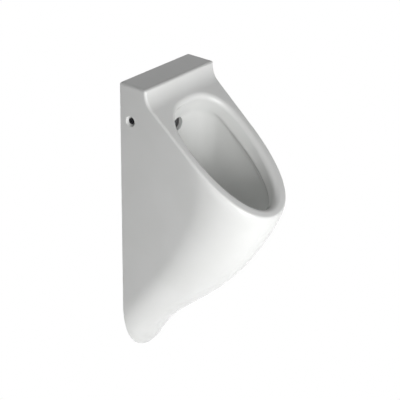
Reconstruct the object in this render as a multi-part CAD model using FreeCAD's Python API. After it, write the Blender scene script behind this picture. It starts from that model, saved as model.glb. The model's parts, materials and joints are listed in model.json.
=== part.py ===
# Wall hung urinal, glazed ceramic, narrow concealed-trap type.
# Millimetres. Origin on the wall plane, midway between the two hanging studs.
# +Z up, +Y into the wall, -Y towards the user, +X to the right of a user who faces
# the wall.  "d" is the distance out from the wall (-Y), "h" the depth below the ledge.
import FreeCAD, Part
import math
import os

V = FreeCAD.Vector
os.makedirs("parts", exist_ok=True)

# ---- ceramic body: outside ----
HEIGHT = 650.0          # ledge to tail tip
HALF_WIDTH = 106.6      # half width at the ledge
TAPER = 0.144           # share of the width lost from ledge to tail tip
FIX_H = 74.0            # hanging studs and side screws, below the ledge
LEDGE_D = 63.0          # depth of the flat top ledge
COVE_R = 40.0           # hollow curve between ledge front and rim plane
RIM_D0, RIM_H0 = 111.0, 64.1    # a point on the rim plane
RIM_TAN = 0.8046        # fall of the rim plane per unit of distance from the wall
FAR = 420.0             # well in front of the nose
FULLNESS = 2.1          # superellipse power of the nose sections
EDGE_R = 5.0            # rounding of the outside edges
WALL_EDGE_R = 2.0       # rounding of the edges that meet the wall
SEAM = [(160.7, 106.7), (235.8, 231.3), (0.0, HEIGHT - 143.2)]      # side meets nose
KEEL = [(279.4, 192.4), (298.0, 201.6), (315.4, 211.4), (253.5, 338.6), (190.6, 424.2),
        (121.8, HEIGHT - 160.8), (66.5, HEIGHT - 107.9), (24.5, HEIGHT - 48.8),
        (0.0, HEIGHT)]  # nose on mid plane
KEEL_LIFT = -1734.0     # bends the keel clear above the rim plane before its start
KEEL_TURN = 0.16         # the inset follows the keel from here on
OVERRUN = 0.12          # how far the nose surface runs on above the rim plane
WALL_T = 12.0           # ceramic thickness outside
BOWL_T = 11.0           # ceramic thickness round the bowl
RIM_T = 22.0            # solid depth under the rim plane

# ---- bowl ----
ROLL_R = 11.0           # rolled edge of the bowl rim
CREST_A = HALF_WIDTH - 22.6             # half width of the rim opening
CREASE_A = HALF_WIDTH - 31.1            # half width of the fold under it
CREST_BACK, CREST_MID, CREST_FRONT = 85.3, 161.7, 288.5     # from the wall
CREST_POWER = (2.3, 1.85)               # superellipse power of its back and its front
BACK_D, CREASE_MID, CREASE_FRONT = 59.0, 150.0, 267.5       # back wall, then the same
FOLD = 30.0             # depth of the fold under the rim plane
CREASE_H = 89.0         # the fold levels out at this depth towards the back
CREASE_BLEND = 8.0      # softness of that bend
CREASE_R = 2.0          # half the width of the fold's rounding
UNDERCUT = 6.5          # the side walls stand back this far under the fold
FUNNEL_ROUND = 0.85     # under 1 the way down to the fold is convex
ABOVE = 24.0            # the bowl tool runs on this far over the rim plane
FLOOR_H = 326.0         # bowl floor at the outlet
OUT_D = 98.0            # outlet axis from the wall
FLOOR_R = 34.0          # flat floor ring
LOOP_N = 24             # points round each bowl loop

# ---- holes in the ceramic ----
SIDE_D = 25.4           # side fixing hole from the wall
SIDE_R = 6.5
SIDE_ROUND = 4.5        # rounding of its mouth
INLET_H, INLET_R = 103.0, 14.0
INLET_BOSS_R, BOSS_IN = 22.0, 8.0       # flat round the inlet on the hidden side
RECESS_R, RECESS_T = 31.8, 4.0
DRAIN_R = 23.0
FLOOR_T = 12.0

# ---- outlet fitting and trap ----
FLANGE_R, FLANGE_T = 31.0, 2.4
TAIL_R, TAIL_BORE, TAIL_L = 21.0, 19.0, 46.0
SEAL_T = 1.6
LOW_SEAL_R, LOW_SEAL_T = 33.0, 3.0
CLAMP_R, CLAMP_T = 34.0, 10.0
SLIP_R, SLIP_T, SLIP_TOP = 31.0, 15.0, 2.5
NECK_BORE, NECK_R, NECK_L = 21.4, 25.0, 12.0
CONE_T = 2.5
CUP_R, CUP_T, CUP_L = 28.0, 2.0, 84.0
SPIGOT_R, SPIGOT_BORE, SPIGOT_END = 16.0, 14.0, 9.0
DIP_R, DIP_BORE = 15.0, 13.2
DIP_HEAD_R, DIP_HEAD_T = 18.9, 3.0
DIP_GAP = 13.0          # dip tube end above the cup floor
DOME_R, DOME_H, DOME_T = 30.0, 13.0, 1.6
DOME_SLOTS, SLOT_W = 12, 3.6
COLLAR_R, COLLAR_L = 18.7, 8.0
SOCKET_R, SOCKET_T, SOCKET_L = 25.0, 2.6, 32.0

# ---- water inlet ----
NIPPLE_R, NIPPLE_BORE, NIPPLE_L = 10.4, 7.5, 16.0
NIPPLE_HEX, NIPPLE_HEX_T = 12.5, 5.0
WASHER_T = 1.5
TUBE_R, TUBE_BORE, TUBE_COLLAR_T = 9.0, 7.4, 3.0
TUBE_END = 50.0
UNION_R, UNION_BACK, UNION_FRONT = 15.5, 6.5, 24.0
SLEEVE_FLANGE_R, SLEEVE_FLANGE_T, SLEEVE_END = 19.0, 4.0, 51.0
SPREADER_T = 3.0

# ---- hanging hardware ----
STUD_X, STUD_R, STUD_IN, STUD_OUT = 52.0, 4.0, 38.0, 20.0     # wall end
STUD_END_R = 3.85       # nut end
PLATE_T = 4.0
PLATE_H = 56.0
LEG_GAP, LEG_L = 2.3, 40.0              # bracket leg inside the ceramic's side, and its depth
NUT_AF, NUT_T = 13.0, 6.5
HANG_WASHER_R, HANG_WASHER_T = 8.4, 1.6
BUSH_R, BUSH_FLANGE_R = 6.4, 11.0
BUSH_SUNK, SIDE_SCREW_R, SIDE_HEAD_R = 6.5, 4.0, 5.6     # bush end under the ceramic's skin
CLEAR = 0.05            # running fit on the radius
THREAD_CLEAR = 0.05     # plain cylinders stand for threads

COS_T = 1.0 / math.hypot(1.0, RIM_TAN)


def at(x, d, h):
    """Point from width, distance from the wall and depth below the ledge."""
    return V(x, -d, FIX_H - h)


def save(name, shape):
    shape.exportStep("parts/%s.step" % name)


def rim(d, n=0.0):
    """Depth below the ledge of the rim plane, or of a plane n under it."""
    return RIM_H0 + RIM_TAN * (d - RIM_D0) + n / COS_T


def half_width(h, inset=0.0):
    return HALF_WIDTH * (1.0 - TAPER * h / HEIGHT) - inset


def seam_point(v):
    a, b, c = (1 - v) ** 2, 2 * v * (1 - v), v * v
    return tuple(a * p + b * q + c * r for p, q, r in zip(*SEAM))


def keel_curve():
    curve = Part.BSplineCurve()
    spans = len(KEEL) - 3
    knots = [i / spans for i in range(spans + 1)]
    mults = [4] + [1] * (spans - 1) + [4]
    curve.buildFromPolesMultsKnots([V(d, h, 0) for d, h in KEEL], mults, knots, False, 3)
    return curve


KEEL_CURVE = keel_curve()


def keel_point(v, inset):
    """Nose outline on the mid plane, moved inwards by inset."""
    p = KEEL_CURVE.value(max(v, 0.0))
    t = KEEL_CURVE.tangent(max(v, KEEL_TURN))[0]
    d, h = p.x, p.y
    if v < 0:
        g = KEEL_CURVE.getD1(0.0)[1]
        d, h = d + v * g.x, h + v * g.y + 0.5 * KEEL_LIFT * v * v
    return d - inset * t.y, h + inset * t.x


def line(a, b):
    return Part.makeLine(a, b)


def flat(edges):
    return Part.Face(Part.Wire(Part.__sortEdges__(edges)))


def through(curves, steps, closed):
    """Smooth surface through curves that share one knot row, at the given steps."""
    columns = []
    for k in range(curves[0].NbPoles):
        column = Part.BSplineCurve()
        column.interpolate(Points=[c.getPole(k + 1) for c in curves], Parameters=steps)
        columns.append(column)
    poles = [[c.getPole(i + 1) for c in columns] for i in range(columns[0].NbPoles)]
    surf = Part.BSplineSurface()
    surf.buildFromPolesMultsKnots(poles, columns[0].getMultiplicities(),
                                  curves[0].getMultiplicities(), columns[0].getKnots(),
                                  curves[0].getKnots(), False, closed, 3, 3)
    return surf


def nose_block(inset, top=20.0, rows=20, cols=24):
    """Solid with flat tapering sides, round nose and tail, running on above the rim plane."""
    lean = HALF_WIDTH * TAPER / HEIGHT
    turn = [j / cols for j in range(cols + 1)]
    curves = []
    for i in range(rows + 1):
        v = -OVERRUN + (1.0 + OVERRUN) * i / rows
        sd, sh = seam_point(v)
        kd, kh = keel_point(v, inset)
        pts = []
        for j in range(cols + 1):
            q = math.pi * j / cols
            c = math.copysign(abs(math.cos(q)) ** (2 / FULLNESS), math.cos(q))
            s = abs(math.sin(q)) ** (2 / FULLNESS)
            if j in (0, cols):
                c, s = (1.0, 0.0) if j == 0 else (-1.0, 0.0)
            d, h = sd + (kd - sd) * s, sh + (kh - sh) * s
            pts.append(at(-half_width(h, inset) * c, d, h))
        # both ends leave along the flat sides, so the join is smooth
        go = 3.0 * (kh - sh)
        start = V(lean * go, -3.0 * (kd - sd), -go)
        end = V(lean * go, 3.0 * (kd - sd), go)
        curve = Part.BSplineCurve()
        curve.interpolate(Points=pts, Parameters=turn, InitialTangent=start,
                          FinalTangent=end)
        curves.append(curve)
    surf = through(curves, [i / rows for i in range(rows + 1)], False)
    u0, u1, v0, v1 = surf.bounds()
    nose = surf.toShape()
    left, right = surf.vIso(v0).toShape(), surf.vIso(v1).toShape()
    first, last = surf.uIso(u0).toShape(), surf.uIso(u1).toShape()
    sd, sh = seam_point(-OVERRUN)
    ed, eh = seam_point(1.0)

    def corner(side, d, h):
        return at(side * half_width(h, inset), d, h)

    faces = [nose]
    for side, edge in ((-1, left), (1, right)):
        faces.append(flat([edge, line(corner(side, sd, sh), corner(side, sd, -top)),
                           line(corner(side, sd, -top), corner(side, 0, -top)),
                           line(corner(side, 0, -top), corner(side, ed, eh))]))
    faces.append(flat([first, line(corner(-1, sd, sh), corner(1, sd, sh))]))
    faces.append(flat([last, line(corner(-1, ed, eh), corner(1, ed, eh))]))
    box = [(sd, sh), (sd, -top), (0, -top), (ed, eh)]
    for (d1, h1), (d2, h2) in zip(box[:-1], box[1:]):
        faces.append(Part.Face(Part.makePolygon([corner(-1, d1, h1), corner(1, d1, h1),
                                                 corner(1, d2, h2), corner(-1, d2, h2),
                                                 corner(-1, d1, h1)])))
    shell = Part.makeShell(faces)
    shell.sewShape()
    solid = Part.makeSolid(shell)
    if solid.Volume < 0:
        solid.reverse()
    return solid


def across(points, arc=None):
    """Prism of full width over a (d, h) outline; arc = (start index, middle point)."""
    edges = []
    n = len(points)
    for i in range(n):
        a, b = at(-150, *points[i]), at(-150, *points[(i + 1) % n])
        if arc and arc[0] == i:
            edges.append(Part.Arc(a, at(-150, *arc[1]), b).toShape())
        else:
            edges.append(line(a, b))
    return Part.Face(Part.Wire(edges)).extrude(V(300, 0, 0))


def above_top():
    """Everything over the ledge, the cove and the rim plane."""
    fall = math.atan(RIM_TAN)
    # cove centre: COVE_R in front of the ledge face and COVE_R over the rim plane
    cd = LEDGE_D + COVE_R
    ch = RIM_H0 + RIM_TAN * (cd - RIM_D0) - COVE_R / COS_T
    end = (cd - COVE_R * math.sin(fall), ch + COVE_R * math.cos(fall))
    half = 0.5 * (math.pi / 2 - fall)
    mid = (cd - COVE_R * math.cos(half), ch + COVE_R * math.sin(half))
    far = (FAR, RIM_H0 + RIM_TAN * (FAR - RIM_D0))
    pts = [(-20, -60), (-20, 0), (LEDGE_D, 0), (LEDGE_D, ch), end, far, (FAR, -60)]
    return across(pts, (3, mid))


def above_hollow():
    """Everything over the roof of the hollow behind and under the bowl."""
    d = LEDGE_D - WALL_T
    drop = RIM_H0 + RIM_T / COS_T
    pts = [(-20, -60), (-20, WALL_T), (d, WALL_T), (d, drop + RIM_TAN * (d - RIM_D0)),
           (FAR, drop + RIM_TAN * (FAR - RIM_D0)), (FAR, -60)]
    return across(pts)


def ring(a, back, mid, front, power, height):
    """Closed egg-shaped loop: half width a, plan depths, powers (back, front), height(d, u)."""
    pts = []
    for i in range(LOOP_N):
        q = 2 * math.pi * i / LOOP_N
        c, s = math.cos(q), math.sin(q)
        p = power[0] if c < 0 else power[1]
        u = 0.0 if abs(c) < 1e-9 else abs(c) ** (2 / p)
        x = 0.0 if abs(s) < 1e-9 else a * math.copysign(abs(s) ** (2 / p), s)
        d = mid + ((front if c >= 0 else back) - mid) * u
        pts.append(at(x, d, height(d)))
    return pts


def skin(loops):
    """Solid bounded by a smooth surface through closed loops and a flat lid at each end."""
    turn = [i / LOOP_N for i in range(LOOP_N + 1)]
    rings = []
    for pts in loops:
        curve = Part.BSplineCurve()
        curve.interpolate(Points=pts, PeriodicFlag=True, Parameters=turn)
        rings.append(curve)
    steps = [0.0]
    for p, q in zip(loops[:-1], loops[1:]):
        gap = sum(a.distanceToPoint(b) for a, b in zip(p, q)) / LOOP_N
        steps.append(steps[-1] + gap ** 0.7)
    surf = through(rings, steps, True)
    side = surf.toShape()
    u0, u1 = surf.bounds()[:2]
    lids = [Part.Face(Part.Wire(surf.uIso(u).toShape())) for u in (u0, u1)]
    shell = Part.makeShell([side] + lids)
    shell.sewShape()
    solid = Part.makeSolid(shell)
    if solid.Volume < 0:
        solid.reverse()
    return solid


def crease_height(d):
    """The fold follows the rim plane at the sides and levels out towards the back."""
    slope = rim(d, FOLD)
    return 0.5 * (slope + CREASE_H + math.hypot(slope - CREASE_H, CREASE_BLEND))


def tilted(back, mid, front):
    """Height that runs straight between three (d, h) points."""
    def height(d):
        a, b = (back, mid) if (d - mid[0]) * (back[0] - mid[0]) > 0 else (mid, front)
        return a[1] + (b[1] - a[1]) * (d - a[0]) / (b[0] - a[0])
    return height


def bowl_rings(grow=0.0):
    """Loops of the bowl from above the rim down to the floor, grown outwards by grow."""
    g = grow
    crest = (CREST_A + g, CREST_BACK - g, CREST_MID, CREST_FRONT + g, CREST_POWER)
    crease = (CREASE_A + g, BACK_D - g, CREASE_MID, CREASE_FRONT + g, (3.6, 2.3))
    top = ring(*crest, rim)
    fold = ring(*crease, crease_height)
    over = ring(CREST_A + g + 9.0, CREST_BACK - g + 15.0, CREST_MID + 15.0, CREST_FRONT + g + 19.0,
                CREST_POWER, lambda d: rim(d, -ABOVE))
    loops = [over, top]
    for f in (0.4, 0.75, 1.0 - CREASE_R / FOLD):
        loops.append([V(*(p[k] + (q[k] - p[k]) * f ** (1.0 if k == 2 else FUNNEL_ROUND)
                          for k in range(3))) for p, q in zip(top, fold)])
    for drop, back in ((CREASE_R, 0.2), (8.0, 0.7), (20.0, 1.0)):
        u = back * UNDERCUT
        out = ring(CREASE_A + g + u, BACK_D - g, CREASE_MID, CREASE_FRONT + g + 0.4 * u,
                   (3.6, 2.3), lambda d: 0.0)
        loops.append([V(q.x, q.y, p.z - drop) for p, q in zip(fold, out)])
    low = FLOOR_H
    rows = [(1.0 - UNDERCUT, 0.0, (0, 174.0), (-12, 134.0), (-6, 62.0), (3.4, 2.3)),
            (2.5, 0.25, (1, 104.0), (-27, 86.0), (-27, 34.0), (3.0, 2.3)),
            (13.0, 0.5, (2, 48.0), (-40, 40.0), (-64, 16.0), (2.6, 2.3)),
            (27.0, 0.75, (4, 16.0), (-47, 14.0), (-103, 5.5), (2.3, 2.2))]
    for less, share, b, m, f, power in rows:
        down = g * (RECESS_T + FLOOR_T) / BOWL_T * share ** 3
        ends = [(BACK_D + b[0] - g, low - b[1] + down), (CREASE_MID + m[0], low - m[1] + down),
                (CREASE_FRONT + f[0] + g, low - f[1] + down)]
        loops.append(ring(CREASE_A - less + g, ends[0][0], ends[1][0], ends[2][0], power,
                          tilted(*ends)))
    base = FLOOR_H + g * (RECESS_T + FLOOR_T) / BOWL_T
    loops.append(ring(FLOOR_R + g, OUT_D - FLOOR_R - g, OUT_D, OUT_D + FLOOR_R + g, (2.0, 2.0),
                      lambda d: base))
    return loops


def rod(x, y, z, r, length, axis):
    return Part.makeCylinder(r, length, V(x, y, z), axis)


X1, Y1, Z1 = V(1, 0, 0), V(0, 1, 0), V(0, 0, 1)
OUT_Y = -OUT_D
FLOOR_Z = FIX_H - FLOOR_H
INLET_Z = FIX_H - INLET_H


def outside_edges(shape):
    """Edges round the top: ledge, cove sides and rim outline, not the flat-to-flat joins."""
    found = []
    for e in shape.Edges:
        c, box = e.BoundBox.Center, e.BoundBox
        joins = abs(c.x) < 1 and c.z < FIX_H - 0.1 and box.YLength < 1
        wall = abs(c.y) < 0.1 and box.YLength < 0.1
        seam = box.ZMin < FIX_H - SEAM[2][1] + 20
        if not (joins or wall or seam):
            found.append(e)
    return found


def ceramic_body():
    outer = nose_block(0.0).removeSplitter().cut(above_top())
    outer = outer.makeFillet(EDGE_R, outside_edges(outer))
    outer = outer.makeFillet(WALL_EDGE_R, [e for e in outer.Edges if abs(e.BoundBox.Center.y) < 0.1
                                           and e.BoundBox.YLength < 0.1])
    cavity = skin(bowl_rings()).fuse(rod(0, -40, INLET_Z, INLET_R, 30, Y1 * -1))
    body = outer.cut(cavity)
    slope = [f for f in body.Faces if f.Surface.TypeId == "Part::GeomPlane" and len(f.Wires) == 2
             and 0.5 < abs(f.normalAt(0, 0).z) < 0.9][0]
    body = body.makeFillet(ROLL_R, min(slope.Wires, key=lambda w: w.Length).Edges)
    # outlet and side fixing holes
    body = body.cut(rod(0, OUT_Y, FLOOR_Z - RECESS_T, RECESS_R, RECESS_T + 10, Z1))
    body = body.cut(rod(0, OUT_Y, FLOOR_Z - 40, DRAIN_R, 60, Z1))
    for side in (-1, 1):
        mouth = Part.makeCone(SIDE_R - 0.5, SIDE_R + SIDE_ROUND + 1.5, SIDE_ROUND + 2.0,
                              V(side * (half_width(FIX_H) - SIDE_ROUND - 0.5), -SIDE_D, 0),
                              X1 * side)
        hole = rod(side * half_width(FIX_H, 3 * WALL_T), -SIDE_D, 0, SIDE_R, 4 * WALL_T, X1 * side)
        body = body.cut(hole.fuse(mouth))
    # hollow behind and under the bowl, open at the wall
    bowl = skin(bowl_rings(BOWL_T))
    bowl = bowl.fuse(rod(0, -(BACK_D - WALL_T), INLET_Z, INLET_BOSS_R, BOSS_IN, Y1 * -1))
    hollow = nose_block(WALL_T)
    hollow.translate(V(0, 2.0, 0))
    body = body.cut(hollow.cut(above_hollow()).cut(bowl))
    return body


def tube(x, y, z, r_out, r_in, length, axis):
    return rod(x, y, z, r_out, length, axis).cut(rod(x, y, z, r_in, length, axis))


def hex_rod(x, y, z, corner_r, length, axis):
    """Six-sided bar along Y or Z or X, corners on corner_r."""
    pts = []
    for i in range(7):
        q = math.pi / 3 * i + math.pi / 6
        a, b = corner_r * math.cos(q), corner_r * math.sin(q)
        if axis.z:
            pts.append(V(x + a, y + b, z))
        elif axis.y:
            pts.append(V(x + a, y, z + b))
        else:
            pts.append(V(x, y + a, z + b))
    return Part.Face(Part.makePolygon(pts)).extrude(axis * length)


def spun(points):
    """Ring or bowl turned about the outlet axis from (r, height over the floor) points."""
    pts = [V(r, OUT_Y, FLOOR_Z + z) for r, z in points]
    face = Part.Face(Part.makePolygon(pts + pts[:1]))
    return face.revolve(V(0, OUT_Y, 0), Z1, 360)


FLANGE_Z = -FLANGE_T
RECESS_Z = -RECESS_T
LOW_Z = RECESS_Z - FLOOR_T                 # underside of the ceramic at the outlet
CLAMP_Z = LOW_Z - LOW_SEAL_T
SLIP_Z = CLAMP_Z - CLAMP_T - 2.0
CONE_Z = SLIP_Z - SLIP_TOP
NECK_Z = CONE_Z - CONE_T
BODY_Z = NECK_Z - NECK_L
CUP_Z = BODY_Z - CUP_T - CUP_L
SPIGOT_Z = BODY_Z - CUP_T - SPIGOT_R - 2.0
SHELF_Z, SHELF_T, SHELF_BORE = -20.0, 3.0, 17.0
OUTLET_Z = FLOOR_Z + SPIGOT_Z
LEG_X = half_width(FIX_H, WALL_T) - LEG_GAP
BUSH_OUT = half_width(FIX_H) - BUSH_SUNK


def outlet_flange():
    """Chromed flange in the bowl floor with its threaded tail and the shelf for the insert."""
    return spun([(TAIL_BORE, 0), (FLANGE_R, 0), (FLANGE_R, FLANGE_Z), (TAIL_R, FLANGE_Z),
                 (TAIL_R, -TAIL_L), (TAIL_BORE, -TAIL_L), (TAIL_BORE, SHELF_Z - SHELF_T),
                 (SHELF_BORE, SHELF_Z - SHELF_T), (SHELF_BORE, SHELF_Z), (TAIL_BORE, SHELF_Z)])


def upper_seal():
    return spun([(TAIL_R + 0.3, FLANGE_Z), (FLANGE_R - 0.3, FLANGE_Z),
                 (FLANGE_R - 0.3, RECESS_Z), (TAIL_R + 0.3, RECESS_Z)])


def lower_seal():
    """Collared rubber ring centring the tail in the ceramic hole."""
    return spun([(TAIL_R + CLEAR, LOW_Z + 6), (DRAIN_R - 0.2, LOW_Z + 6), (DRAIN_R - 0.2, LOW_Z),
                 (LOW_SEAL_R, LOW_Z), (LOW_SEAL_R, CLAMP_Z), (TAIL_R + CLEAR, CLAMP_Z)])


def clamp_nut():
    body = hex_rod(0, OUT_Y, FLOOR_Z + CLAMP_Z, CLAMP_R + 2.5, -CLAMP_T, Z1)
    round_off = rod(0, OUT_Y, FLOOR_Z + CLAMP_Z - CLAMP_T, CLAMP_R, CLAMP_T, Z1)
    bore = rod(0, OUT_Y, FLOOR_Z + CLAMP_Z - 20, TAIL_R + THREAD_CLEAR, 40, Z1)
    return body.common(round_off).cut(bore)


def slip_nut():
    """Ribbed nut that pulls the trap cup up against the cone seal."""
    nut = spun([(NECK_BORE, SLIP_Z), (SLIP_R, SLIP_Z), (SLIP_R, SLIP_Z - SLIP_T),
                (NECK_R + THREAD_CLEAR, SLIP_Z - SLIP_T), (NECK_R + THREAD_CLEAR, CONE_Z),
                (NECK_BORE, CONE_Z)])
    for i in range(12):
        q = 2 * math.pi * i / 12
        nut = nut.cut(rod((SLIP_R + 1.6) * math.cos(q), OUT_Y + (SLIP_R + 1.6) * math.sin(q),
                          FLOOR_Z + SLIP_Z - SLIP_T - 1.0, 3.0, SLIP_T - 2.0, Z1))
    return nut


def cone_seal():
    return spun([(TAIL_R + CLEAR, CONE_Z), (NECK_R - 0.3, CONE_Z), (NECK_R - 0.3, NECK_Z),
                 (TAIL_R + CLEAR, NECK_Z)])


def trap_cup():
    """Cup under the outlet with its horizontal spigot towards the wall."""
    r, t = CUP_R, CUP_T
    outer = spun([(0, NECK_Z), (NECK_R, NECK_Z), (NECK_R, BODY_Z), (r, BODY_Z - t),
                  (r, CUP_Z + 9), (r - 9, CUP_Z), (0, CUP_Z)])
    inner = spun([(0, NECK_Z + 1), (NECK_BORE, NECK_Z + 1), (NECK_BORE, BODY_Z - t),
                  (r - t, BODY_Z - 2 * t), (r - t, CUP_Z + 9.8), (r - 9.8, CUP_Z + t),
                  (0, CUP_Z + t)])
    spigot = rod(0, OUT_Y, OUTLET_Z, SPIGOT_R, OUT_D - SPIGOT_END, Y1)
    bore = rod(0, OUT_Y, OUTLET_Z, SPIGOT_BORE, OUT_D, Y1)
    cup = outer.fuse(spigot).cut(inner).cut(bore)
    return cup.removeSplitter()


def dip_tube():
    """Inner tube of the trap with its head on the shelf, O-ring groove and grip bar."""
    end = CUP_Z + CUP_T + DIP_GAP
    head = SHELF_Z + 7.0
    tube_ = spun([(DIP_BORE, head), (TAIL_BORE - CLEAR, head), (TAIL_BORE - CLEAR, SHELF_Z + 5.0),
                  (TAIL_BORE - 2.6, SHELF_Z + 5.0), (TAIL_BORE - 2.6, SHELF_Z + 2.2),
                  (TAIL_BORE - CLEAR, SHELF_Z + 2.2), (TAIL_BORE - CLEAR, SHELF_Z),
                  (DIP_R, SHELF_Z), (DIP_R, end), (DIP_BORE, end)])
    bar = Part.makeBox(2 * DIP_R, 3.0, 5.0, V(-DIP_R, OUT_Y - 1.5, FLOOR_Z + head - 5.0))
    return tube_.fuse(bar)


def dip_o_ring():
    r = 1.1
    return Part.makeTorus(TAIL_BORE - 0.3 - r, r, V(0, OUT_Y, FLOOR_Z + SHELF_Z + 3.6), Z1)


def dome_strainer():
    """Slotted dome over the outlet with a locating collar in the tail."""
    r, k, t = DOME_R, DOME_H, DOME_T
    big = (r * r + k * k) / (2 * k)
    centre = V(0, OUT_Y, FLOOR_Z + 2.0 + k - big)
    ball = Part.makeSphere(big, centre).cut(Part.makeSphere(big - t, centre))
    dome = ball.common(rod(0, OUT_Y, FLOOR_Z + 2.0, r + 5, k + 5, Z1))
    base = tube(0, OUT_Y, FLOOR_Z + CLEAR, r, COLLAR_R - 1.4, 2.6 - CLEAR, Z1)
    collar = tube(0, OUT_Y, FLOOR_Z - COLLAR_L, COLLAR_R, COLLAR_R - 1.4, COLLAR_L + 2.0, Z1)
    dome = dome.fuse(base)
    low = r - 5.5
    for i in range(DOME_SLOTS):
        slot = Part.makeBox(low - 9.0, SLOT_W, 30, V(9.0, -SLOT_W / 2, 2.7))
        slot = slot.fuse(rod(9.0, 0, 2.7, SLOT_W / 2, 30, Z1))
        slot.rotate(V(0, 0, 0), Z1, 360.0 * i / DOME_SLOTS)
        slot.translate(V(0, OUT_Y, FLOOR_Z))
        dome = dome.cut(slot)
    return dome.fuse(collar).removeSplitter()


def wall_socket():
    """Mouth of the waste pipe where it leaves the wall."""
    return tube(0, 0, OUTLET_Z, SOCKET_R, SOCKET_R - SOCKET_T, SOCKET_L, Y1 * -1)


def waste_sleeve():
    """Rubber reducer between the waste pipe and the trap spigot, lipped at its mouth."""
    fit = SOCKET_R - SOCKET_T - CLEAR
    sleeve = rod(0, -4, OUTLET_Z, fit, SOCKET_L - 4, Y1 * -1)
    lip = rod(0, -SOCKET_L, OUTLET_Z, SOCKET_R, 2.5, Y1 * -1)
    return sleeve.fuse(lip).cut(rod(0, 0, OUTLET_Z, SPIGOT_R + CLEAR, 60, Y1 * -1)).removeSplitter()


def supply_nipple():
    out = Y1 * -1
    nip = rod(0, 0, INLET_Z, NIPPLE_R, NIPPLE_L, out)
    nip = nip.fuse(hex_rod(0, 0, INLET_Z, NIPPLE_HEX, NIPPLE_HEX_T, out))
    return nip.cut(rod(0, 1, INLET_Z, NIPPLE_BORE, 60, out)).removeSplitter()


def supply_washer():
    return tube(0, -NIPPLE_L, INLET_Z, NIPPLE_R - 0.2, NIPPLE_BORE + 0.2, WASHER_T, Y1 * -1)


def inlet_tube():
    y = NIPPLE_L + WASHER_T
    out = Y1 * -1
    pipe = rod(0, -y, INLET_Z, TUBE_R, TUBE_END - y, out)
    pipe = pipe.fuse(rod(0, -y, INLET_Z, NIPPLE_R - 0.1, TUBE_COLLAR_T, out))
    return pipe.cut(rod(0, 0, INLET_Z, TUBE_BORE, 2 * TUBE_END, out)).removeSplitter()


def union_nut():
    out = Y1 * -1
    seat = NIPPLE_L + WASHER_T + TUBE_COLLAR_T
    nut = hex_rod(0, -UNION_BACK, INLET_Z, UNION_R, UNION_FRONT - UNION_BACK, out)
    nut = nut.cut(rod(0, 0, INLET_Z, NIPPLE_R + THREAD_CLEAR, seat, out))
    return nut.cut(rod(0, 0, INLET_Z, TUBE_R + 0.15, 60, out))


def inlet_sleeve():
    """Rubber sleeve that seals the tube in the ceramic from behind."""
    out = Y1 * -1
    face = BACK_D - WALL_T
    sleeve = rod(0, -(face - SLEEVE_FLANGE_T), INLET_Z, SLEEVE_FLANGE_R, SLEEVE_FLANGE_T, out)
    sleeve = sleeve.fuse(rod(0, -face, INLET_Z, INLET_R - 0.1, SLEEVE_END - face, out))
    return sleeve.cut(rod(0, 0, INLET_Z, TUBE_R + CLEAR, 2 * TUBE_END, out)).removeSplitter()


def spreader():
    out = Y1 * -1
    disc = rod(0, -(TUBE_END - 1 - SPREADER_T), INLET_Z, TUBE_BORE - CLEAR, SPREADER_T, out)
    disc = disc.cut(rod(0, 0, INLET_Z, 1.1, 2 * TUBE_END, out))
    for i in range(6):
        q = math.pi / 3 * i
        disc = disc.cut(rod(4.4 * math.cos(q), 0, INLET_Z + 4.4 * math.sin(q), 1.1,
                            2 * TUBE_END, out))
    return disc


def bracket(side):
    """Steel angle: plate on the wall, leg alongside the ceramic's side."""
    low, wide = STUD_X - 16.0, LEG_X
    x0 = low if side > 0 else -wide
    plate = Part.makeBox(wide - low, PLATE_T, PLATE_H, V(x0, -PLATE_T, -PLATE_H / 2))
    x1 = LEG_X - PLATE_T if side > 0 else -LEG_X
    leg = Part.makeBox(PLATE_T, LEG_L, PLATE_H - 14, V(x1, -LEG_L, -(PLATE_H - 14) / 2))
    angle = plate.fuse(leg).removeSplitter()
    corners = [e for e in angle.Edges if e.Length < PLATE_T + 0.01
               and (abs(e.BoundBox.Center.x) < low + 1
                    or (e.BoundBox.Center.y < -LEG_L + 1 and e.BoundBox.XLength > 1))]
    angle = angle.makeFillet(8.0, corners)
    angle = angle.cut(rod(side * STUD_X, 5, 0, STUD_END_R + 0.4, 20, Y1 * -1))
    return angle.cut(rod(side * (LEG_X + 5), -SIDE_D, 0, SIDE_SCREW_R + 0.3, 20, X1 * -side))


def both(make):
    return Part.Compound([make(-1), make(1)])


def hanger_stud(side):
    """Wall end from the wall plane on, thinner nut end in front of it."""
    stud = rod(side * STUD_X, 0, 0, STUD_R, STUD_IN, Y1)
    stud = stud.fuse(rod(side * STUD_X, -STUD_OUT, 0, STUD_END_R, STUD_OUT + 1, Y1))
    tip = [e for e in stud.Edges if e.BoundBox.YLength < 0.1 and abs(e.BoundBox.Center.y) > 5]
    return stud.makeChamfer(1.0, tip)


def hanger_washer(side):
    bore = STUD_END_R + 0.2
    return tube(side * STUD_X, -PLATE_T, 0, HANG_WASHER_R, bore, HANG_WASHER_T, Y1 * -1)


def hanger_nut(side):
    y = PLATE_T + HANG_WASHER_T
    nut = hex_rod(side * STUD_X, -y, 0, NUT_AF / math.sqrt(3), NUT_T, Y1 * -1)
    return nut.cut(rod(side * STUD_X, 0, 0, STUD_END_R + THREAD_CLEAR, 40, Y1 * -1))


def side_bush(side):
    wall = half_width(FIX_H, WALL_T)
    bush = rod(side * (LEG_X + CLEAR), -SIDE_D, 0, BUSH_FLANGE_R, wall - LEG_X - 0.4, X1 * side)
    bush = bush.fuse(rod(side * (LEG_X + CLEAR), -SIDE_D, 0, BUSH_R, BUSH_OUT - LEG_X, X1 * side))
    bore = rod(side * (LEG_X - 10), -SIDE_D, 0, SIDE_SCREW_R + 0.1, 30, X1 * side)
    return bush.cut(bore).removeSplitter()


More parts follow.
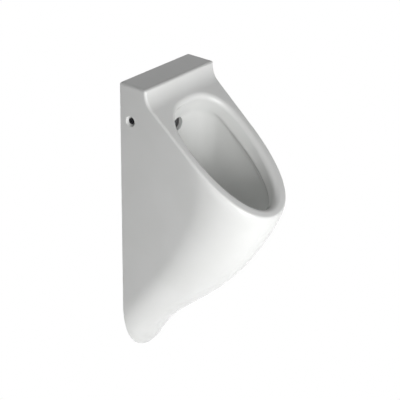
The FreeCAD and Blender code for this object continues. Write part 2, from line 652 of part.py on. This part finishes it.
def side_screw(side):
    top = BUSH_OUT + CLEAR
    screw = rod(side * (top + 0.05), -SIDE_D, 0, SIDE_HEAD_R, 3.2, X1 * side)
    low = LEG_X - 14.5
    screw = screw.fuse(rod(side * low, -SIDE_D, 0, SIDE_SCREW_R, top + 1 - low, X1 * side))
    key = hex_rod(side * (top + 1.4), -SIDE_D, 0, 2.3, 5.0, X1 * side)
    return screw.cut(key).removeSplitter()


def captive_nut(side):
    nut = hex_rod(side * (LEG_X - PLATE_T), -SIDE_D, 0, NUT_AF / math.sqrt(3), NUT_T, X1 * -side)
    bore = rod(side * (LEG_X - 20), -SIDE_D, 0, SIDE_SCREW_R + THREAD_CLEAR, 40, X1 * side)
    return nut.cut(bore)


save("ceramic_body", ceramic_body())
save("outlet_flange", outlet_flange())
save("upper_seal", upper_seal())
save("lower_seal", lower_seal())
save("clamp_nut", clamp_nut())
save("slip_nut", slip_nut())
save("cone_seal", cone_seal())
save("trap_cup", trap_cup())
save("dip_tube", dip_tube())
save("dip_o_ring", dip_o_ring())
save("dome_strainer", dome_strainer())
save("wall_socket", wall_socket())
save("waste_sleeve", waste_sleeve())
save("supply_nipple", supply_nipple())
save("supply_washer", supply_washer())
save("inlet_tube", inlet_tube())
save("union_nut", union_nut())
save("inlet_sleeve", inlet_sleeve())
save("spreader", spreader())
save("bracket_left", bracket(-1))
save("bracket_right", bracket(1))
save("hanger_studs", both(hanger_stud))
save("hanger_washers", both(hanger_washer))
save("hanger_nuts", both(hanger_nut))
save("side_bushes", both(side_bush))
save("side_screws", both(side_screw))
save("captive_nuts", both(captive_nut))
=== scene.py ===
import bpy, bmesh, json, math
from mathutils import Matrix, Vector

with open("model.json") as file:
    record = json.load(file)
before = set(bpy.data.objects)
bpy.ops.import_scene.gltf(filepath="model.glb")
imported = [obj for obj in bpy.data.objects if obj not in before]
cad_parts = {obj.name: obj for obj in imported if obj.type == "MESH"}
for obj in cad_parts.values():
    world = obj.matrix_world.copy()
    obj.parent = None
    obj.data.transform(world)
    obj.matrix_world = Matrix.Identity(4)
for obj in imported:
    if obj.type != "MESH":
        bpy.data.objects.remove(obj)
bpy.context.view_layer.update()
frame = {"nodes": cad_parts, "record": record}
scene = bpy.context.scene
nodes = frame["nodes"]


# ---------------------------------------------------------------- finishes: shared parts
class Finish:
    """A finish for one kind of piece, patterned on Object coordinates in metres."""

    def __init__(self, name):
        self.mat = bpy.data.materials.new(name)
        self.mat.use_nodes = True
        self.tree = self.mat.node_tree
        self.tree.nodes.clear()
        self.out = self.tree.nodes.new("ShaderNodeOutputMaterial")
        self.place = self.tree.nodes.new("ShaderNodeTexCoord").outputs["Object"]

    def node(self, kind, **values):
        n = self.tree.nodes.new(kind)
        for key, value in values.items():
            setattr(n, key, value)
        return n

    def link(self, a, b):
        self.tree.links.new(a, b)

    def feed(self, socket, value):
        """Links a socket to another, or sets its number or colour."""
        if isinstance(value, bpy.types.NodeSocket):
            self.link(value, socket)
        else:
            socket.default_value = value

    def noise(self, scale, detail=3.0, rough=0.5, stretch=(1, 1, 1)):
        n = self.node("ShaderNodeTexNoise")
        m = self.node("ShaderNodeMapping")
        m.inputs["Scale"].default_value = stretch
        self.link(self.place, m.inputs["Vector"])
        self.link(m.outputs["Vector"], n.inputs["Vector"])
        n.inputs["Scale"].default_value = scale
        n.inputs["Detail"].default_value = detail
        n.inputs["Roughness"].default_value = rough
        return n.outputs["Fac"]

    def math(self, operation, a, b):
        n = self.node("ShaderNodeMath", operation=operation)
        self.feed(n.inputs[0], a)
        self.feed(n.inputs[1], b)
        return n.outputs[0]

    def span(self, value, low, high, a=0.0, b=1.0):
        """Turns low to high into a to b, eased at both ends."""
        n = self.node("ShaderNodeMapRange", interpolation_type="SMOOTHSTEP")
        self.link(value, n.inputs["Value"])
        for key, number in (("From Min", low), ("From Max", high), ("To Min", a), ("To Max", b)):
            n.inputs[key].default_value = number
        return n.outputs["Result"]

    def blend(self, share, a, b):
        """Goes from colour a to colour b with the share."""
        n = self.node("ShaderNodeMix", data_type="RGBA")
        for index, value in ((0, share), (6, a), (7, b)):
            self.feed(n.inputs[index], value)
        return n.outputs[2]

    def bump(self, height, strength, distance, under=None):
        n = self.node("ShaderNodeBump")
        n.inputs["Strength"].default_value = strength
        n.inputs["Distance"].default_value = distance
        self.link(height, n.inputs["Height"])
        if under is not None:
            self.link(under, n.inputs["Normal"])
        return n.outputs["Normal"]

    def surface(self, color, rough, normal, metal=0.0):
        n = self.node("ShaderNodeBsdfPrincipled")
        self.feed(n.inputs["Base Color"], color)
        self.feed(n.inputs["Roughness"], rough)
        self.feed(n.inputs["Metallic"], metal)
        self.link(normal, n.inputs["Normal"])
        self.link(n.outputs[0], self.out.inputs["Surface"])
        return n


def rgb(r, g, b):
    return (r, g, b, 1.0)


# ---------------------------------------------------------------- glazed ceramic
GLAZE_COOL = rgb(0.835, 0.842, 0.828)
GLAZE_WARM = rgb(0.86, 0.866, 0.855)
CLAY_DARK = rgb(0.62, 0.58, 0.51)
CLAY_LIGHT = rgb(0.78, 0.75, 0.69)
GLAZE_IOR = 1.52
GLAZE_ROUGH = (0.05, 0.10)
CLAY_ROUGHER = 0.6
BARE_FROM, BARE_TO = -0.0016, -0.0004     # where the glaze ends, in metres from the wall face
BARE_WAVER = 0.004                        # how far that edge wanders, in metres

# texture scales, in waves per metre
TINT_WAVES, RIPPLE_WAVES, SHINE_WAVES = 9.0, 26.0, 30.0
EDGE_WAVES, PEEL_WAVES, GRIT_WAVES = 70.0, 260.0, 900.0


def glaze():
    """White vitreous glaze, and bare fired clay on the band that sits on the wall."""
    g = Finish("glaze_white")
    xyz = g.node("ShaderNodeSeparateXYZ")
    g.link(g.place, xyz.inputs[0])
    tint = g.span(g.noise(TINT_WAVES, detail=2.0), 0.35, 0.65)
    waver = g.math("MULTIPLY", g.math("SUBTRACT", g.noise(EDGE_WAVES), 0.5), BARE_WAVER)
    bare = g.span(g.math("ADD", xyz.outputs["Y"], waver), BARE_FROM, BARE_TO)
    grit = g.noise(GRIT_WAVES, detail=4.0, rough=0.6)
    color = g.blend(bare, g.blend(tint, GLAZE_COOL, GLAZE_WARM), g.blend(grit, CLAY_DARK, CLAY_LIGHT))
    rough = g.math("ADD", g.span(g.noise(SHINE_WAVES), 0.3, 0.7, *GLAZE_ROUGH),
                   g.math("MULTIPLY", bare, CLAY_ROUGHER))

    ripple = g.bump(g.noise(RIPPLE_WAVES, detail=1.0), 0.20, 0.0012)
    peel = g.bump(g.noise(PEEL_WAVES, detail=1.0), 0.05, 0.0004, under=ripple)
    tooth = g.node("ShaderNodeMix", data_type="FLOAT")
    g.link(bare, tooth.inputs[0])
    tooth.inputs[2].default_value = 0.5   # level where glazed
    g.link(grit, tooth.inputs[3])
    shell = g.surface(color, rough, g.bump(tooth.outputs[0], 0.5, 0.0006, under=peel))
    shell.inputs["IOR"].default_value = GLAZE_IOR
    return g.mat


# ---------------------------------------------------------------- metal, plastic and rubber
MARK_WAVES, TARNISH_WAVES = 400.0, 45.0
GRAIN_WAVES, FLOW_WAVES = 900.0, 25.0

# name: light colour, dark colour, roughness
METALS = {
    "chrome_flange": ((0.80, 0.81, 0.82), (0.70, 0.71, 0.73), 0.10),
    "chrome_dome": ((0.82, 0.83, 0.84), (0.74, 0.75, 0.76), 0.07),
    "chrome_tube": ((0.78, 0.79, 0.80), (0.70, 0.71, 0.72), 0.12),
    "brass_nipple": ((0.78, 0.61, 0.31), (0.62, 0.46, 0.22), 0.28),
    "brass_nut": ((0.80, 0.64, 0.34), (0.66, 0.50, 0.25), 0.24),
    "zinc_steel": ((0.66, 0.67, 0.69), (0.52, 0.53, 0.56), 0.36),
    "stud_steel": ((0.63, 0.64, 0.66), (0.50, 0.51, 0.53), 0.32),
    "washer_steel": ((0.68, 0.69, 0.70), (0.56, 0.57, 0.58), 0.30),
    "nut_steel": ((0.66, 0.67, 0.68), (0.54, 0.55, 0.56), 0.30),
    # screw_steel is near black: painted shade, so that the screw head at the bottom of the side hole
    # shows as that hole's dark core.
    "screw_steel": ((0.030, 0.030, 0.033), (0.020, 0.020, 0.022), 0.55),
}
PLASTICS = {
    "white_plastic": ((0.84, 0.84, 0.81), (0.80, 0.80, 0.77), 0.42),
    "trap_plastic": ((0.86, 0.86, 0.83), (0.81, 0.81, 0.78), 0.30),
    "insert_plastic": ((0.24, 0.26, 0.29), (0.19, 0.21, 0.24), 0.45),
    "pipe_grey": ((0.44, 0.45, 0.46), (0.38, 0.39, 0.40), 0.40),
    "spreader_plastic": ((0.10, 0.10, 0.11), (0.07, 0.07, 0.08), 0.40),
    # bush_nylon is near black: painted shade, so that the bush in the side hole shows as that hole's
    # dark core.
    "bush_nylon": ((0.09, 0.09, 0.09), (0.06, 0.06, 0.06), 0.50),
    "seal_rubber": ((0.05, 0.05, 0.05), (0.03, 0.03, 0.03), 0.70),
    "o_ring_rubber": ((0.045, 0.045, 0.045), (0.03, 0.03, 0.03), 0.50),
    # sleeve_rubber is near black: painted shade, so that the sleeve behind the inlet hole shows as
    # the shadow in the inlet passage.
    "sleeve_rubber": ((0.06, 0.06, 0.06), (0.04, 0.04, 0.04), 0.65),
    "inlet_rubber": ((0.055, 0.055, 0.055), (0.035, 0.035, 0.035), 0.60),
    "fibre_washer": ((0.30, 0.09, 0.07), (0.22, 0.06, 0.05), 0.70),
}


def metal(name, light, dark, rough):
    """Bare or plated metal with fine marks and a little tarnish; near black where its colour is
    painted shade.
    """
    g = Finish(name)
    marks = g.noise(MARK_WAVES, rough=0.6)
    tarnish = g.noise(TARNISH_WAVES, detail=4.0, rough=0.6)
    color = g.blend(g.span(tarnish, 0.35, 0.7), rgb(*light), rgb(*dark))
    uneven = g.math("ADD", g.span(marks, 0.3, 0.7, rough * 0.75, rough * 1.3),
                    g.span(tarnish, 0.5, 0.8, 0.0, 0.08))
    g.surface(color, uneven, g.bump(marks, 0.04, 0.0003), metal=1.0)
    return g.mat


def plastic(name, light, dark, rough):
    """Moulded plastic or rubber with a fine spark-eroded texture and faint flow marks."""
    g = Finish(name)
    grain = g.noise(GRAIN_WAVES, detail=2.0, rough=0.6)
    flow = g.noise(FLOW_WAVES, stretch=(1, 1, 3))
    color = g.blend(g.span(flow, 0.3, 0.7), rgb(*light), rgb(*dark))
    uneven = g.span(grain, 0.3, 0.7, rough - 0.06, rough + 0.06)
    g.surface(color, uneven, g.bump(grain, 0.12, 0.0002))
    return g.mat


def dress_pieces():
    """Gives each node the finish that its material slot names."""
    finishes = {"glaze": glaze()}
    finishes.update((name, metal(name, *look)) for name, look in METALS.items())
    finishes.update((name, plastic(name, *look)) for name, look in PLASTICS.items())
    slots = {s["node"]: s["material_slot"] for s in frame["record"]["subparts"]}
    for name, piece in nodes.items():
        piece.data.materials.clear()
        piece.data.materials.append(finishes[slots[name]])


# ---------------------------------------------------------------- stage, light, camera
# The picture's viewpoint: azimuth and elevation in degrees, lengths in metres.
VIEW_AZIMUTH, VIEW_ELEVATION, VIEW_ROLL = -54.14, 27.89, -2.43
AIM_RIGHT, AIM_Z, VIEW_DISTANCE = 0.0996, -0.2140, 2.2216
PICTURE_PX, FOCAL_PX, CENTRE_PX = 400.0, 1072.8, 1.07
SENSOR_MM = 36.0
CLIP_NEAR, CLIP_FAR = 0.05, 60.0

FLOOR_Z, FLOOR_REACH = -1.1, 6.0
FLOOR_GREY = 0.8
WHITE = rgb(1, 1, 1)
WORLD_LEVEL = 0.05

# name: azimuth, elevation, distance, side length, watts
LAMP_AIM = Vector((0, -0.15, -0.2))
LAMPS = {
    "front_low_box": (-24, -8, 1.7, 1.2, 17),
    "front_box": (-24, 12, 2.4, 1.8, 19),
    "left_box": (-45, -12, 2.4, 1.6, 6),
    "side_low_box": (-75, -20, 2.2, 1.0, 3),
    "back_top_box": (-150, 60, 2.6, 1.6, 6),
}


def way_to(azimuth, elevation):
    """Unit vector towards an azimuth and elevation in degrees; 0, 0 is straight in front."""
    a, e = math.radians(azimuth), math.radians(elevation)
    return Vector((math.sin(a) * math.cos(e), -math.cos(a) * math.cos(e), math.sin(e)))


def add_camera():
    azimuth, roll = math.radians(VIEW_AZIMUTH), math.radians(VIEW_ROLL)
    back = way_to(VIEW_AZIMUTH, VIEW_ELEVATION)
    right = Vector((math.cos(azimuth), math.sin(azimuth), 0.0))
    up = back.cross(right)
    x = right * math.cos(roll) - up * math.sin(roll)
    y = right * math.sin(roll) + up * math.cos(roll)
    spot = right * AIM_RIGHT + Vector((0, 0, AIM_Z)) + back * VIEW_DISTANCE
    lens = bpy.data.cameras.new("camera")
    lens.sensor_width = SENSOR_MM
    lens.lens = SENSOR_MM * FOCAL_PX / PICTURE_PX
    lens.shift_x = -CENTRE_PX / PICTURE_PX
    lens.clip_start, lens.clip_end = CLIP_NEAR, CLIP_FAR
    camera = bpy.data.objects.new("camera", lens)
    camera.matrix_world = Matrix.Translation(spot) @ Matrix((x, y, back)).transposed().to_4x4()
    scene.collection.objects.link(camera)
    scene.camera = camera


def show_white(tree, out, lit, white):
    """White for camera, gloss and transmission rays, so that gloss shows it too, else lit."""
    path = tree.nodes.new("ShaderNodeLightPath")
    seen = path.outputs["Is Camera Ray"]
    for ray in ("Is Glossy Ray", "Is Transmission Ray"):
        either = tree.nodes.new("ShaderNodeMath")
        either.operation = "MAXIMUM"
        tree.links.new(seen, either.inputs[0])
        tree.links.new(path.outputs[ray], either.inputs[1])
        seen = either.outputs[0]
    mix = tree.nodes.new("ShaderNodeMixShader")
    for index, socket in enumerate((seen, lit.outputs[0], white.outputs[0])):
        tree.links.new(socket, mix.inputs[index])
    tree.links.new(mix.outputs[0], out.inputs["Surface"])


def shader(tree, kind, color, strength=None):
    n = tree.nodes.new(kind)
    n.inputs["Color"].default_value = color
    if strength is not None:
        n.inputs["Strength"].default_value = strength
    return n


def add_floor():
    mesh = bpy.data.meshes.new("floor")
    bm = bmesh.new()
    bmesh.ops.create_grid(bm, x_segments=1, y_segments=1, size=FLOOR_REACH)
    bm.to_mesh(mesh)
    bm.free()
    floor = bpy.data.objects.new("floor", mesh)
    floor.location = (0, 0, FLOOR_Z)
    scene.collection.objects.link(floor)

    paint = bpy.data.materials.new("floor_white")
    paint.use_nodes = True
    tree = paint.node_tree
    tree.nodes.clear()
    show_white(tree, tree.nodes.new("ShaderNodeOutputMaterial"),
               shader(tree, "ShaderNodeBsdfDiffuse", rgb(FLOOR_GREY, FLOOR_GREY, FLOOR_GREY)),
               shader(tree, "ShaderNodeEmission", WHITE, 1.0))
    mesh.materials.append(paint)


def add_world():
    world = bpy.data.worlds.new("world")
    scene.world = world
    world.use_nodes = True
    tree = world.node_tree
    tree.nodes.clear()
    show_white(tree, tree.nodes.new("ShaderNodeOutputWorld"),
               shader(tree, "ShaderNodeBackground", WHITE, WORLD_LEVEL),
               shader(tree, "ShaderNodeBackground", WHITE, 1.0))


def add_lamp(name, azimuth, elevation, distance, side, watts):
    """A square soft box that faces the middle of the piece."""
    box = bpy.data.lights.new(name, "AREA")
    box.shape = "SQUARE"
    box.size = side
    box.energy = watts
    lamp = bpy.data.objects.new(name, box)
    way = way_to(azimuth, elevation)
    lamp.location = LAMP_AIM + way * distance
    lamp.rotation_mode = "QUATERNION"
    lamp.rotation_quaternion = way.to_track_quat("Z", "Y")
    scene.collection.objects.link(lamp)


dress_pieces()
add_camera()
add_floor()
add_world()
for lamp_name, setting in LAMPS.items():
    add_lamp(lamp_name, *setting)
scene.view_settings.view_transform = "Standard"
